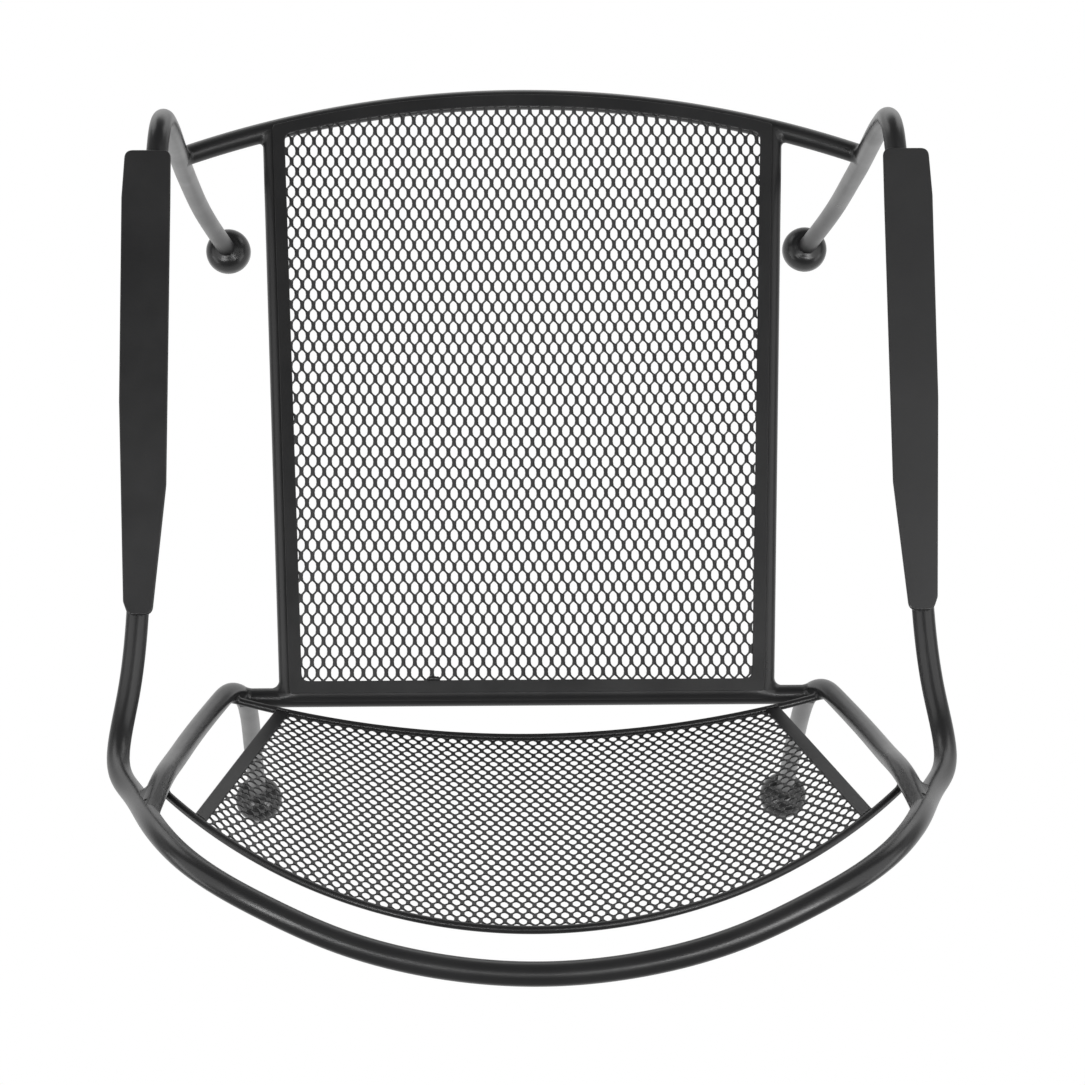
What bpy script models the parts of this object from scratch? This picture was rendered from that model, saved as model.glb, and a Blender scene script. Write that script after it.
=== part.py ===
"""Stacking garden armchair: a welded steel tube frame with expanded-metal seat and back.

The chair faces -Y and is symmetric about X = 0. It stands on Z = 0. All sizes are in metres.
One bent tube, the hoop, makes both front legs, both arms and the rail over the back. Two bent
rear legs run from the floor, past the back of the seat, and up to the hoop. Four bars make the
seat frame, and the seat sheet's flat rim lies on them. Two thin rods between the rear legs and
two flat side bars frame the back panel.
"""

import math

import bmesh
import bpy
import numpy as np

# ---------------------------------------------------------------- driving dimensions
GAP = 0.0003                # left between pieces that are welded or pressed together

HOOP_RADIUS = 0.0085        # 17 mm tube: hoop, seat front bar and side rails
LEG_RADIUS = 0.0080         # 16 mm tube: rear legs
REAR_BAR_RADIUS = 0.0080    # 16 mm tube across the back of the seat
ROD_RADIUS = 0.0030         # 6 mm rods along the bottom and top of the back panel
SIDE_WIDTH = 0.0110         # flat bars up its two sides
SIDE_THICKNESS = 0.0030

SEAT_Z = 0.420              # height of the seat frame's tube centres
ARM_Z = 0.650               # height of the arm tube's centre
RAIL_Z = 0.858              # height of the back rail's tube centre
RAIL_ARC = 0.402            # plan radius of the back rail
RAIL_Y = 0.3767             # how far back the rail's centre lies

FRONT_BAR_ARC = 0.870       # plan radius of the seat's bowed front bar
FRONT_BAR_Y = -0.3766       # where that bow is furthest forward
REAR_BAR_Y = 0.1383
RAIL_FRONT_X = 0.2141       # seat side rails, closer together at the back
RAIL_REAR_X = 0.1970
SEAT_DISH = 0.014           # how far the seat sheet sags at its middle
SEAT_RIM = 0.0105           # width of its flat rim
RIM_REAR_Y = 0.1363         # back edge of the rim, over the rear bar
RIM_FORWARD = 0.0015        # how far the rim reaches past the front bar's centre

LOWER_ROD_Y, LOWER_ROD_Z = 0.1752, 0.445    # the rod under the back panel, on its centre line
LOWER_ROD_ARC = 0.910                       # and its plan radius
UPPER_ROD_Y, UPPER_ROD_Z = 0.3436, 0.760    # the rod over the back panel, on its centre line
UPPER_ROD_ARC = 0.402
UPPER_ROD_DROP = 0.600      # how much the upper rod falls for each metre it comes forward
SIDE_FOOT_X = 0.2010        # side bars of the back, wider apart at the top
SIDE_HEAD_X = 0.2440
SHEET_THICKNESS = 0.0020    # expanded metal

PLATE_THICKNESS = 0.003     # arm plates
PLATE_CORNER = 0.0065

CUP_RADIUS = 0.0220
CUP_HEIGHT = 0.0250
CUP_RIM_Z = 0.0030          # the cups stop short of the floor
CAVITY_TOP_Z = 0.0115
GLIDE_RADIUS = 0.0185
TUBE_END_Z = 0.0125         # where the leg tubes end, inside the cups

# Centre line of the hoop's +X half, from the foot up to the top of the corner.
HOOP_HALF = [
    (0.2862, -0.3543, TUBE_END_Z), (0.2935, -0.3511, 0.110), (0.2972, -0.3468, 0.200),
    (0.2970, -0.3403, 0.285), (0.2945, -0.3298, 0.375), (0.2890, -0.3138, 0.510),
    (0.2858, -0.3008, 0.600), (0.2855, -0.2923, 0.6300), (0.2860, -0.2773, 0.6460),
    (0.2872, -0.2553, ARM_Z), (0.2890, -0.2213, ARM_Z), (0.2925, -0.0963, ARM_Z),
    (0.2955, 0.0287, ARM_Z), (0.2980, 0.1137, ARM_Z), (0.3034, 0.1628, 0.6505),
    (0.3080, 0.1930, 0.6560), (0.3081, 0.2120, 0.6670), (0.3031, 0.2268, 0.6850),
    (0.2927, 0.2397, 0.7110), (0.2775, 0.2582, 0.7600), (0.2597, 0.2792, 0.8110),
    (0.2385, 0.2987, 0.8385), (0.2150, 0.3147, 0.8510), (0.1830, 0.3320, 0.8570),
]

# Centre line of the +X rear leg, from the foot through the bend at the seat to the hoop.
LEG_PATH = [
    (0.2525, 0.1887, TUBE_END_Z), (0.2475, 0.1722, 0.120), (0.2410, 0.1547, 0.250),
    (0.2358, 0.1419, 0.360), (0.2360, 0.1370, 0.400), (0.2388, 0.1351, 0.423),
    (0.2434, 0.1359, 0.440), (0.2505, 0.1472, 0.472), (0.2592, 0.1697, 0.525),
    (0.2650, 0.1902, 0.580), (0.2690, 0.2117, 0.645), (0.2712, 0.2317, 0.710),
    (0.2745, 0.2577, 0.762),
]

# Outline of the +X arm plate, anticlockwise from the inner front corner.
PLATE_OUTLINE = [
    (0.2752, -0.2590), (0.3105, -0.2590), (0.3127, -0.2213), (0.3122, -0.0613),
    (0.3070, 0.0927), (0.3034, 0.1027), (0.2850, 0.1027), (0.2756, 0.0037),
    (0.2751, -0.2163),
]

# ---------------------------------------------------------------- the scene
SIDES = (("left", 1.0), ("right", -1.0))

for old in list(bpy.data.objects):
    bpy.data.objects.remove(old, do_unlink=True)

parts = bpy.data.collections.new("mesh_garden_armchair")
tools = bpy.data.collections.new("cutters")
bpy.context.scene.collection.children.link(parts)
bpy.context.scene.collection.children.link(tools)


def material(name, colour, roughness, metallic):
    """A Principled material named for the piece it is on."""
    made = bpy.data.materials.new(name)
    made.use_nodes = True
    shader = made.node_tree.nodes["Principled BSDF"]
    shader.inputs["Base Color"].default_value = (*colour, 1.0)
    shader.inputs["Roughness"].default_value = roughness
    shader.inputs["Metallic"].default_value = metallic
    return made


def powder_coat(name):
    return material(name, (0.020, 0.020, 0.021), 0.32, 0.0)


def black_nylon(name):
    return material(name, (0.015, 0.015, 0.015), 0.55, 0.0)


def place(name, data, collection=parts):
    obj = bpy.data.objects.new(name, data)
    collection.objects.link(obj)
    return obj


# ---------------------------------------------------------------- paths and surfaces
def spline(points, step):
    """Points every `step` or so along the natural cubic spline through `points`."""
    knots = np.array(points, dtype=float)
    chord = np.linalg.norm(np.diff(knots, axis=0), axis=1)
    at = np.concatenate([[0.0], np.cumsum(chord)])
    count = len(knots)
    system = np.eye(count)
    right = np.zeros_like(knots)
    for i in range(1, count - 1):
        before, after = chord[i - 1], chord[i]
        system[i, i - 1:i + 2] = before, 2 * (before + after), after
        right[i] = 6 * ((knots[i + 1] - knots[i]) / after - (knots[i] - knots[i - 1]) / before)
    bend = np.linalg.solve(system, right)
    path = []
    for s in np.linspace(0.0, at[-1], max(2, round(at[-1] / step) + 1)):
        i = min(int(np.searchsorted(at, s, side="right")) - 1, count - 2)
        span = chord[i]
        far, near = (s - at[i]) / span, (at[i + 1] - s) / span
        curve = (near ** 3 - near) * bend[i] + (far ** 3 - far) * bend[i + 1]
        path.append(near * knots[i] + far * knots[i + 1] + curve * span ** 2 / 6)
    return path


def mirrored(points):
    return [(-x, y, z) for x, y, z in points]


def rail_point(x):
    """A point on the level arc of the rail over the back."""
    return (x, RAIL_Y - RAIL_ARC + math.sqrt(RAIL_ARC ** 2 - x ** 2), RAIL_Z)


def hoop_path(step):
    half = HOOP_HALF + [rail_point(0.140), rail_point(0.070)]
    return spline(half + [rail_point(0.0)] + mirrored(half)[::-1], step)


def front_bar_point(x):
    """A point on the bowed bar at the front of the seat."""
    return (x, FRONT_BAR_Y + FRONT_BAR_ARC - math.sqrt(FRONT_BAR_ARC ** 2 - x ** 2), SEAT_Z)


def seat_rail_x(y):
    """Where the centre of a side rail lies, y metres back."""
    front = front_bar_point(RAIL_FRONT_X)[1]
    return RAIL_FRONT_X + (RAIL_REAR_X - RAIL_FRONT_X) * (y - front) / (REAR_BAR_Y - front)


def seat_point(across, along):
    """A point on the dished seat; across is -1 to 1, along is 0 at the back and 1 in front."""
    front = front_bar_point(across * RAIL_FRONT_X)[1] - RIM_FORWARD
    y = RIM_REAR_Y + (front - RIM_REAR_Y) * along
    width, length = seat_rail_x(y), RIM_REAR_Y - front
    over = min(1.0, abs(across) / (1 - SEAT_RIM / width))
    down = min(1.0, abs(2 * along - 1) / (1 - 2 * SEAT_RIM / length))
    top = SEAT_Z + HOOP_RADIUS + GAP + SHEET_THICKNESS / 2
    return (across * width, y, top - SEAT_DISH * (1 - over ** 2) * (1 - down ** 2))


def lower_rod_point(x):
    """A point on the rod along the bottom of the back."""
    return (x, LOWER_ROD_Y - LOWER_ROD_ARC + math.sqrt(LOWER_ROD_ARC ** 2 - x ** 2), LOWER_ROD_Z)


def upper_rod_point(x):
    """A point on the rod along the top of the back, which dips toward its ends."""
    forward = UPPER_ROD_ARC - math.sqrt(UPPER_ROD_ARC ** 2 - x ** 2)
    return (x, UPPER_ROD_Y - forward, UPPER_ROD_Z - UPPER_ROD_DROP * forward)


def back_point(across, up):
    """A point on the back panel; across is -1 to 1, up is 0 at the bottom and 1 at the top."""
    low = np.array(lower_rod_point(across * SIDE_FOOT_X))
    high = np.array(upper_rod_point(across * SIDE_HEAD_X))
    return tuple(low + (high - low) * up)


# ---------------------------------------------------------------- kinds of solid
def tube(name, path, radius, sides=12, collection=parts):
    """A round bar along a path: a bevelled curve with closed ends."""
    curve = bpy.data.curves.new(name, "CURVE")
    curve.dimensions = "3D"
    curve.bevel_depth = radius
    curve.bevel_resolution = (sides - 4) // 2
    curve.use_fill_caps = True
    line = curve.splines.new("POLY")
    line.points.add(len(path) - 1)
    for point, at in zip(line.points, path):
        point.co = (*at, 1.0)
    line.use_smooth = True
    return place(name, curve, collection)


def as_mesh(obj):
    """Swap a curve object for the same shape as one welded mesh."""
    graph = bpy.context.evaluated_depsgraph_get()
    mesh = bpy.data.meshes.new_from_object(obj.evaluated_get(graph), depsgraph=graph)
    body = bmesh.new()
    body.from_mesh(mesh)
    bmesh.ops.remove_doubles(body, verts=body.verts, dist=0.00001)
    bmesh.ops.recalc_face_normals(body, faces=body.faces)
    body.to_mesh(mesh)
    body.free()
    name, collection, placed = obj.name, obj.users_collection[0], obj.matrix_world.copy()
    bpy.data.objects.remove(obj, do_unlink=True)
    swapped = place(name, mesh, collection)
    swapped.matrix_world = placed
    return swapped


def cutter(name, path, radius, sides=16):
    """A tube a little fatter than the piece it stands for, used to notch its neighbours."""
    obj = as_mesh(tube(name, path, radius + GAP, sides, tools))
    obj.hide_render = True
    obj.display_type = "WIRE"
    return obj


def notch(obj, *cutters):
    """Cope the ends of a piece round the tubes that it is welded to."""
    for tool in cutters:
        cut = obj.modifiers.new(tool.name, "BOOLEAN")
        cut.operation = "DIFFERENCE"
        cut.solver = "EXACT"
        cut.object = tool
    return obj


def sheet(name, surface, across, along, thickness):
    """A thin panel: a grid of across x along cells on a surface, thickened both ways."""
    body = bmesh.new()
    bmesh.ops.create_grid(body, x_segments=across, y_segments=along, size=1.0)
    for vert in body.verts:
        vert.co = surface(vert.co.x, (vert.co.y + 1) / 2)
    bmesh.ops.recalc_face_normals(body, faces=body.faces)
    mesh = bpy.data.meshes.new(name)
    body.to_mesh(mesh)
    body.free()
    obj = place(name, mesh)
    solid = obj.modifiers.new("thickness", "SOLIDIFY")
    solid.thickness = thickness
    solid.offset = 0.0
    return obj


def fillet(outline, radius, steps=4):
    """The outline with each corner rounded."""
    rounded = []
    for i, corner in enumerate(outline):
        here = np.array(corner)
        to_last = np.array(outline[i - 1]) - here
        to_next = np.array(outline[(i + 1) % len(outline)]) - here
        to_last /= np.linalg.norm(to_last)
        to_next /= np.linalg.norm(to_next)
        half_angle = math.acos(max(-1.0, min(1.0, float(to_last @ to_next)))) / 2
        reach = radius / math.tan(half_angle)
        if reach < radius / 4:
            rounded.append(corner)
            continue
        start, end = here + to_last * reach, here + to_next * reach
        for k in range(steps + 1):
            t = k / steps
            rounded.append(tuple((1 - t) ** 2 * start + 2 * t * (1 - t) * here + t * t * end))
    return rounded


# ---------------------------------------------------------------- tubes of the frame
def build_hoop():
    obj = tube("hoop_frame", hoop_path(0.022), HOOP_RADIUS)
    obj.data.materials.append(powder_coat("hoop_frame"))


def build_rear_legs(hoop_cutter):
    """The two rear legs, coped to the hoop, and a cutter for each."""
    cutters = {}
    for side, sign in SIDES:
        path = LEG_PATH if sign > 0 else mirrored(LEG_PATH)
        leg = as_mesh(tube(f"rear_leg_{side}", spline(path, 0.022), LEG_RADIUS))
        leg.data.materials.append(powder_coat(leg.name))
        notch(leg, hoop_cutter)
        cutters[side] = cutter(f"cut_rear_leg_{side}", spline(path, 0.022), LEG_RADIUS)
    return cutters


def build_seat_frame(hoop_cutter, leg_cutters):
    """Front bar, rear bar and the two side rails between them."""
    reach = 0.2925
    bow = [front_bar_point(reach * k / 10) for k in range(-10, 11)]
    front = notch(as_mesh(tube("seat_front_bar", bow, HOOP_RADIUS)), hoop_cutter)
    front.data.materials.append(powder_coat(front.name))

    ends = [(x, REAR_BAR_Y, SEAT_Z) for x in (-0.2380, -0.1, 0.1, 0.2380)]
    rear = notch(as_mesh(tube("seat_rear_bar", ends, REAR_BAR_RADIUS)), *leg_cutters.values())
    rear.data.materials.append(powder_coat(rear.name))

    front_cutter = cutter("cut_front_bar", bow, HOOP_RADIUS)
    rear_cutter = cutter("cut_rear_bar", ends, REAR_BAR_RADIUS)
    for side, sign in SIDES:
        start, end = front_bar_point(RAIL_FRONT_X), (RAIL_REAR_X, REAR_BAR_Y, SEAT_Z)
        line = [(sign * x, y, z) for x, y, z in (start, end)]
        rail = notch(as_mesh(tube(f"seat_side_rail_{side}", line, HOOP_RADIUS)),
                     front_cutter, rear_cutter)
        rail.data.materials.append(powder_coat(rail.name))


# ---------------------------------------------------------------- seat and back
def build_seat_mesh():
    seat = sheet("seat_mesh", seat_point, 14, 14, SHEET_THICKNESS)
    seat.data.materials.append(powder_coat(seat.name))


def build_back(leg_cutters):
    """The back panel: two curved rods, two flat side bars and the sheet that they frame."""
    rods = (("back_lower_rod", lower_rod_point, 0.2440, 20),
            ("back_upper_rod", upper_rod_point, 0.2790, 24))
    rod_cutters = []
    for name, point, reach, steps in rods:
        path = [point(reach * (2 * k / steps - 1)) for k in range(steps + 1)]
        rod = notch(as_mesh(tube(name, path, ROD_RADIUS, sides=8)), *leg_cutters.values())
        rod.data.materials.append(powder_coat(name))
        rod_cutters.append(cutter(f"cut_{name}", path, ROD_RADIUS))

    width = math.dist(back_point(0, 0), back_point(1, 0))
    half_bar = SIDE_WIDTH / 2 / width
    for side, sign in SIDES:
        def strip(across, up):
            return back_point(sign * (1 + half_bar * across), up)

        bar = notch(sheet(f"back_side_bar_{side}", strip, 2, 6, SIDE_THICKNESS), *rod_cutters)
        bar.data.materials.append(powder_coat(bar.name))

    length = math.dist(back_point(0, 0), back_point(0, 1))
    margin_up = 1.15 * (ROD_RADIUS + 3 * GAP) / length
    margin_across = 1.10 * (SIDE_WIDTH / 2 + 3 * GAP) / width

    def panel(across, up):
        return back_point(across * (1 - margin_across), margin_up + (1 - 2 * margin_up) * up)

    mesh = sheet("back_mesh", panel, 16, 8, SHEET_THICKNESS)
    mesh.data.materials.append(powder_coat("back_mesh"))


# ---------------------------------------------------------------- arms and feet
def build_arm_plates():
    for side, sign in SIDES:
        name = f"arm_plate_{side}"
        outline = bpy.data.curves.new(name, "CURVE")
        outline.dimensions = "2D"
        outline.fill_mode = "BOTH"
        outline.extrude = PLATE_THICKNESS / 2
        points = fillet(PLATE_OUTLINE, PLATE_CORNER)
        line = outline.splines.new("POLY")
        line.use_cyclic_u = True
        line.points.add(len(points) - 1)
        for point, (x, y) in zip(line.points, points):
            point.co = (sign * x, y, 0.0, 1.0)
        plate = place(name, outline)
        plate.location.z = ARM_Z + HOOP_RADIUS + 2 * GAP + PLATE_THICKNESS / 2
        outline.materials.append(powder_coat(name))


def turned(name, profile, steps, collection=parts):
    """A solid of revolution about Z; the profile runs down its outer side, at +X."""
    body = bmesh.new()
    points = [body.verts.new((radius, 0.0, z)) for radius, z in profile]
    for first, second in zip(points, points[1:]):
        body.edges.new((first, second))
    mesh = bpy.data.meshes.new(name)
    body.to_mesh(mesh)
    body.free()
    obj = place(name, mesh, collection)
    turn = obj.modifiers.new("turn", "SCREW")
    turn.steps = steps
    turn.render_steps = steps
    turn.use_merge_vertices = True
    turn.merge_threshold = 0.0001
    return obj


def build_feet(hoop_cutter, leg_cutters):
    """A domed steel cup round the end of each leg, with a nylon glide pressed into it."""
    neck = HOOP_RADIUS + 0.0022
    dome = [(0.0, CUP_HEIGHT), (neck, CUP_HEIGHT)]
    for k in range(1, 6):
        angle = math.radians(90 - 18 * k)
        dome.append((neck + (CUP_RADIUS - neck) * math.cos(angle),
                     0.008 + (CUP_HEIGHT - 0.0015 - 0.008) * math.sin(angle)))
    dome += [(CUP_RADIUS - 0.0005, CUP_RIM_Z), (GLIDE_RADIUS + GAP, CUP_RIM_Z),
             (GLIDE_RADIUS + GAP, CAVITY_TOP_Z), (0.0, CAVITY_TOP_Z)]
    glide = [(0.0, CAVITY_TOP_Z - GAP), (GLIDE_RADIUS, CAVITY_TOP_Z - GAP),
             (GLIDE_RADIUS, 0.0015), (GLIDE_RADIUS - 0.0015, 0.0), (0.0, 0.0)]
    for side, sign in SIDES:
        feet = (("front", HOOP_HALF[0], hoop_cutter), ("rear", LEG_PATH[0], leg_cutters[side]))
        for end, (x, y, _), tool in feet:
            cup = turned(f"foot_cup_{end}_{side}", dome, 20)
            cup.location = (sign * x, y, 0.0)
            notch(cup, tool)
            cup.data.materials.append(powder_coat(cup.name))
            pad = turned(f"foot_glide_{end}_{side}", glide, 20)
            pad.location = (sign * x, y, 0.0)
            pad.data.materials.append(black_nylon(pad.name))


def shade():
    """Round pieces are shaded smooth, with their real edges kept sharp."""
    for obj in parts.objects:
        if obj.type == "MESH":
            obj.data.shade_smooth()
            obj.data.set_sharp_from_angle(angle=math.radians(40))


hoop_tool = cutter("cut_hoop", hoop_path(0.022), HOOP_RADIUS)
build_hoop()
leg_tools = build_rear_legs(hoop_tool)
build_seat_frame(hoop_tool, leg_tools)
build_seat_mesh()
build_back(leg_tools)
build_arm_plates()
build_feet(hoop_tool, leg_tools)
shade()
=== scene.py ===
"""Looks for the stacking garden armchair: smooth powder-coated tubes, real expanded metal,
weld beads, arm plates, cup feet, the studio and the camera."""

import math

import bmesh
import bpy
import numpy as np
from mathutils import Matrix, Vector, noise


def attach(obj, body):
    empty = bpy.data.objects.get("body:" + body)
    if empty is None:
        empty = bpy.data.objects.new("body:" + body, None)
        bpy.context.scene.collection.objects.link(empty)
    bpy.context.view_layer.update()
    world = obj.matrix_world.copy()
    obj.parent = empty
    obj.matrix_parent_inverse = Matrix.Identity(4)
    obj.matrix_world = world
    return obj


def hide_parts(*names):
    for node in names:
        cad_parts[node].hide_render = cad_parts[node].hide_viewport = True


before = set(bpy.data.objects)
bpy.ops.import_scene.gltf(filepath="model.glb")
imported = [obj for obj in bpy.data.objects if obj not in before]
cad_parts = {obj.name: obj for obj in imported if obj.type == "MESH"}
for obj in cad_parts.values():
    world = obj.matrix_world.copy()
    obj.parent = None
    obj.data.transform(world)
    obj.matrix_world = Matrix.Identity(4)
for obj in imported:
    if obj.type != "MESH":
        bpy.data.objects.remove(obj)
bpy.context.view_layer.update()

# ---------------------------------------------------------------- sizes, in metres, as in the CAD
WELD_GAP = 0.0003           # the CAD leaves this between two pieces that are welded together
HOOP_RADIUS = 0.0085
LEG_RADIUS = 0.0080
REAR_BAR_RADIUS = 0.0080
ROD_RADIUS = 0.0030
SIDE_WIDTH, SIDE_THICKNESS = 0.0110, 0.0030
SHEET_THICKNESS = 0.0020

SEAT_Z, ARM_Z, RAIL_Z = 0.420, 0.650, 0.858
RAIL_ARC, RAIL_Y = 0.402, 0.3767
FRONT_BAR_ARC, FRONT_BAR_Y, FRONT_BAR_REACH = 0.870, -0.3766, 0.2900
REAR_BAR_Y, REAR_BAR_REACH = 0.1383, 0.2380
RAIL_FRONT_X, RAIL_REAR_X = 0.2141, 0.1970
SEAT_DISH = 0.014
SEAT_RIM, RIM_REAR_Y, RIM_FORWARD = 0.0105, 0.1363, 0.0015
RIM_Z = SEAT_Z + HOOP_RADIUS + WELD_GAP + SHEET_THICKNESS / 2

LOWER_ROD_Y, LOWER_ROD_Z, LOWER_ROD_ARC, LOWER_ROD_REACH = 0.1752, 0.445, 0.910, 0.2400
UPPER_ROD_Y, UPPER_ROD_Z, UPPER_ROD_ARC, UPPER_ROD_REACH = 0.3436, 0.760, 0.402, 0.2730
UPPER_ROD_DROP = 0.600      # how much the upper rod falls for each metre it comes forward
SIDE_FOOT_X, SIDE_HEAD_X = 0.2010, 0.2440

PLATE_THICKNESS, PLATE_CORNER, PLATE_EDGE = 0.003, 0.0065, 0.0009
CUP_RADIUS, CUP_HEIGHT, CUP_RIM_Z, CUP_SHOULDER_Z = 0.0220, 0.0250, 0.0030, 0.0085
GLIDE_RADIUS = 0.0185
TUBE_END_Z = 0.0125
CURVE_STEP = 0.004          # between two points along a bent tube

MESH_PITCH = 0.00945        # short way of the diamond, across the chair
MESH_LENGTH = 0.0179        # long way of the diamond
MESH_BOND = 0.0029          # half the length of the solid bar between two openings
MESH_BOND_WIDTH = 0.0030    # and its width
MESH_STRAND = 0.00058       # width of one strand
MESH_TILT = 0.00045         # how far each strand's edges stand above and below the sheet
MESH_GAUGE = 0.0011         # thickness of the sheet
SNAP_MICRONS = 40           # corners of cells nearer than this are one corner

FILLET_RIPPLE, BEAD_RIPPLE = 0.0024, 0.0022     # from one ripple of a weld to the next
FILLET_SINK = 0.0001        # how far a fillet's edges lie inside the tubes' skins
FILLET_ROOT = 0.0012        # and its hidden root behind the joint's line

HOOP_HALF = [
    (0.2862, -0.3543, TUBE_END_Z), (0.2935, -0.3511, 0.110), (0.2972, -0.3468, 0.200),
    (0.2970, -0.3403, 0.285), (0.2945, -0.3298, 0.375), (0.2890, -0.3138, 0.510),
    (0.2858, -0.3008, 0.600), (0.2855, -0.2923, 0.6300), (0.2860, -0.2773, 0.6460),
    (0.2872, -0.2553, ARM_Z), (0.2890, -0.2213, ARM_Z), (0.2925, -0.0963, ARM_Z),
    (0.2955, 0.0287, ARM_Z), (0.2980, 0.1137, ARM_Z), (0.3034, 0.1628, 0.6505),
    (0.3080, 0.1930, 0.6560), (0.3081, 0.2120, 0.6670), (0.3031, 0.2268, 0.6850),
    (0.2927, 0.2397, 0.7110), (0.2775, 0.2582, 0.7600), (0.2597, 0.2792, 0.8110),
    (0.2385, 0.2987, 0.8385), (0.2150, 0.3147, 0.8510), (0.1830, 0.3320, 0.8570),
]
LEG_PATH = [
    (0.2525, 0.1887, TUBE_END_Z), (0.2475, 0.1722, 0.120), (0.2410, 0.1547, 0.250),
    (0.2358, 0.1419, 0.360), (0.2360, 0.1370, 0.400), (0.2388, 0.1351, 0.423),
    (0.2434, 0.1359, 0.440), (0.2505, 0.1472, 0.472), (0.2592, 0.1697, 0.525),
    (0.2650, 0.1902, 0.580), (0.2690, 0.2117, 0.645), (0.2712, 0.2317, 0.710),
    (0.2745, 0.2577, 0.762),
]
PLATE_OUTLINE = [
    (0.2752, -0.2590), (0.3105, -0.2590), (0.3127, -0.2213), (0.3122, -0.0613),
    (0.3070, 0.0927), (0.3034, 0.1027), (0.2850, 0.1027), (0.2756, 0.0037),
    (0.2751, -0.2163),
]
SIDES = (("left", 1.0), ("right", -1.0))


# ---------------------------------------------------------------- paths, as in the CAD
def spline(points, step):
    """Points every `step` or so along the natural cubic spline through `points`."""
    knots = np.array(points, dtype=float)
    chord = np.linalg.norm(np.diff(knots, axis=0), axis=1)
    at = np.concatenate([[0.0], np.cumsum(chord)])
    count = len(knots)
    system = np.eye(count)
    right = np.zeros_like(knots)
    for i in range(1, count - 1):
        before, after = chord[i - 1], chord[i]
        system[i, i - 1:i + 2] = before, 2 * (before + after), after
        right[i] = 6 * ((knots[i + 1] - knots[i]) / after - (knots[i] - knots[i - 1]) / before)
    bend = np.linalg.solve(system, right)
    path = []
    for s in np.linspace(0.0, at[-1], max(2, round(at[-1] / step) + 1)):
        i = min(int(np.searchsorted(at, s, side="right")) - 1, count - 2)
        span = chord[i]
        far, near = (s - at[i]) / span, (at[i + 1] - s) / span
        curve = (near ** 3 - near) * bend[i] + (far ** 3 - far) * bend[i + 1]
        path.append(near * knots[i] + far * knots[i + 1] + curve * span ** 2 / 6)
    return np.array(path)


def mirrored(points):
    return [(-x, y, z) for x, y, z in points]


def rail_point(x):
    return (x, RAIL_Y - RAIL_ARC + math.sqrt(RAIL_ARC ** 2 - x ** 2), RAIL_Z)


def front_bar_point(x):
    return (x, FRONT_BAR_Y + FRONT_BAR_ARC - math.sqrt(FRONT_BAR_ARC ** 2 - x ** 2), SEAT_Z)


def seat_rail_x(y):
    front = front_bar_point(RAIL_FRONT_X)[1]
    return RAIL_FRONT_X + (RAIL_REAR_X - RAIL_FRONT_X) * (y - front) / (REAR_BAR_Y - front)


def lower_rod_point(x):
    return (x, LOWER_ROD_Y - LOWER_ROD_ARC + math.sqrt(LOWER_ROD_ARC ** 2 - x ** 2), LOWER_ROD_Z)


def upper_rod_point(x):
    forward = UPPER_ROD_ARC - math.sqrt(UPPER_ROD_ARC ** 2 - x ** 2)
    return (x, UPPER_ROD_Y - forward, UPPER_ROD_Z - UPPER_ROD_DROP * forward)


def back_point(across, up):
    """A point on the back panel; across is -1 to 1, up is 0 at the bottom and 1 at the top."""
    low = np.array(lower_rod_point(across * SIDE_FOOT_X))
    high = np.array(upper_rod_point(across * SIDE_HEAD_X))
    return low + (high - low) * up


# ---------------------------------------------------------------- materials
def new_material(name):
    """A new material, its nodes and links, its shader and the output with an object's place."""
    made = bpy.data.materials.new(name)
    made.use_nodes = True
    nodes, links = made.node_tree.nodes, made.node_tree.links
    where = nodes.new("ShaderNodeTexCoord").outputs["Object"]
    return made, nodes, links, nodes["Principled BSDF"], where


def ramp(nodes, links, source, span, result, smooth=False):
    """The output that takes `source` from the range `span` to the range `result`."""
    node = nodes.new("ShaderNodeMapRange")
    if smooth:
        node.interpolation_type = "SMOOTHSTEP"
    node.inputs["From Min"].default_value, node.inputs["From Max"].default_value = span
    node.inputs["To Min"].default_value, node.inputs["To Max"].default_value = result
    links.new(source, node.inputs["Value"])
    return node.outputs["Result"]


def bumpy(nodes, links, shader, height, strength, depth):
    """Bump of the given depth, in metres, on a shader."""
    bump = nodes.new("ShaderNodeBump")
    bump.inputs["Strength"].default_value = strength
    bump.inputs["Distance"].default_value = depth
    links.new(height, bump.inputs["Height"])
    links.new(bump.outputs["Normal"], shader.inputs["Normal"])


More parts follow.
